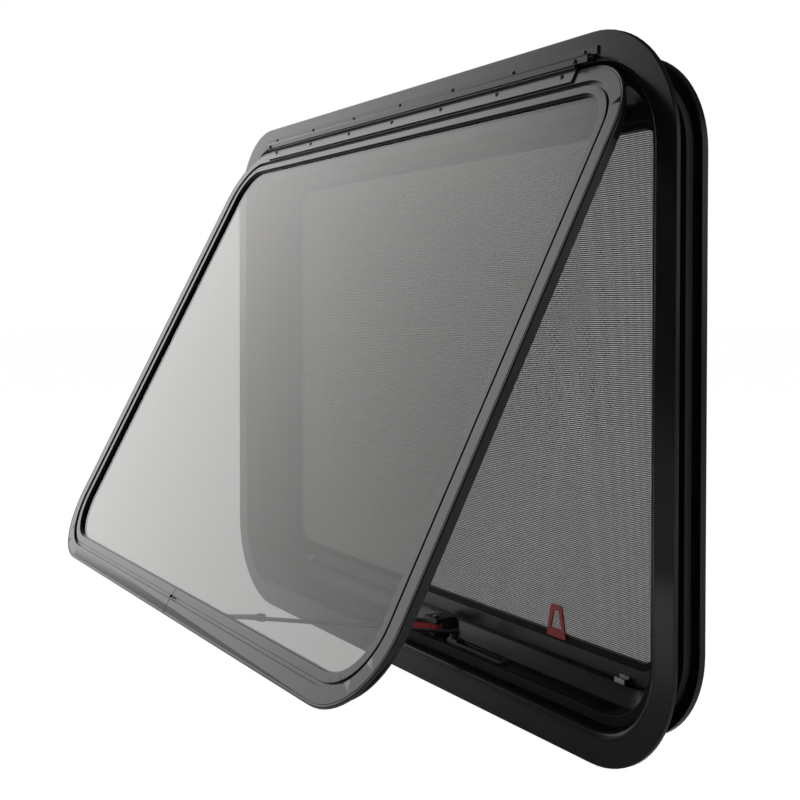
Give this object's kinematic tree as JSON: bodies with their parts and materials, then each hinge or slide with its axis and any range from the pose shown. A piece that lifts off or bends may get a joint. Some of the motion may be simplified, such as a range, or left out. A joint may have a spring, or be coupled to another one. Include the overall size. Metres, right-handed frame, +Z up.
{
  "type": "caravan window",
  "caption": "Top-hung push-out caravan window in a black bent-profile frame, with a tinted glass sash propped open on a sliding stay, an insect screen and an inner clamping trim.",
  "frame": {"origin": "On the rear seat face of the outer flange, at the middle of its bottom run, in the plane of the caravan wall's outer skin.", "axes": "+X runs to the right as seen from outside, +Y runs through the wall into the caravan, +Z runs up the wall."},
  "size_m": [0.915, 0.3461, 0.664],
  "materials": {
    "outer_frame": "satin black powder coat",
    "wall_seal": "matt",
    "frame_seal": "matt",
    "trim_ring": "satin black powder coat",
    "sash_frame": "satin black powder coat",
    "sash_splice": "mill finish",
    "glass_pane": "polished, grey tint",
    "outer_gasket": "matt",
    "inner_gasket": "matt",
    "hinge_frame_leaf": "satin black powder coat",
    "hinge_sash_leaf": "satin black powder coat",
    "screen_frame": "satin black powder coat",
    "screen_mesh": "woven glass-fibre insect mesh",
    "screen_cord": "matt",
    "screen_pull": "satin",
    "clip_bottom_left": "brushed",
    "clip_bottom_right": "brushed",
    "clip_top_left": "brushed",
    "clip_top_right": "brushed",
    "latch_base": "satin",
    "latch_lever": "satin",
    "latch_hook": "satin black",
    "latch_pin": "brushed",
    "latch_keeper": "satin black powder coat",
    "stay_track": "satin black powder coat",
    "stay_slider": "satin",
    "stay_arm": "satin black",
    "stay_link": "satin black",
    "stay_slider_pin": "brushed",
    "stay_link_pin": "brushed",
    "stay_sash_pin": "brushed",
    "stay_link_end_pin": "brushed",
    "stay_bracket": "satin black"
  },
  "bodies": {
    "root": {"outer_frame": "outer_frame", "wall_seal": "wall_seal", "frame_seal": "frame_seal", "trim_ring": "trim_ring", "sash_frame": "sash_frame", "sash_splice": "sash_splice", "glass_pane": "glass_pane", "outer_gasket": "outer_gasket", "inner_gasket": "inner_gasket", "hinge_frame_leaf": "hinge_frame_leaf", "hinge_sash_leaf": "hinge_sash_leaf", "screen_frame": "screen_frame", "screen_mesh": "screen_mesh", "screen_cord": "screen_cord", "screen_pull": "screen_pull", "clip_bottom_left": "clip_bottom_left", "clip_bottom_right": "clip_bottom_right", "clip_top_left": "clip_top_left", "clip_top_right": "clip_top_right", "latch_base": "latch_base", "latch_lever": "latch_lever", "latch_hook": "latch_hook", "latch_pin": "latch_pin", "latch_keeper": "latch_keeper", "stay_track": "stay_track", "stay_slider": "stay_slider", "stay_arm": "stay_arm", "stay_link": "stay_link", "stay_slider_pin": "stay_slider_pin", "stay_link_pin": "stay_link_pin", "stay_sash_pin": "stay_sash_pin", "stay_link_end_pin": "stay_link_end_pin", "stay_bracket": "stay_bracket"}
  },
  "joints": []
}
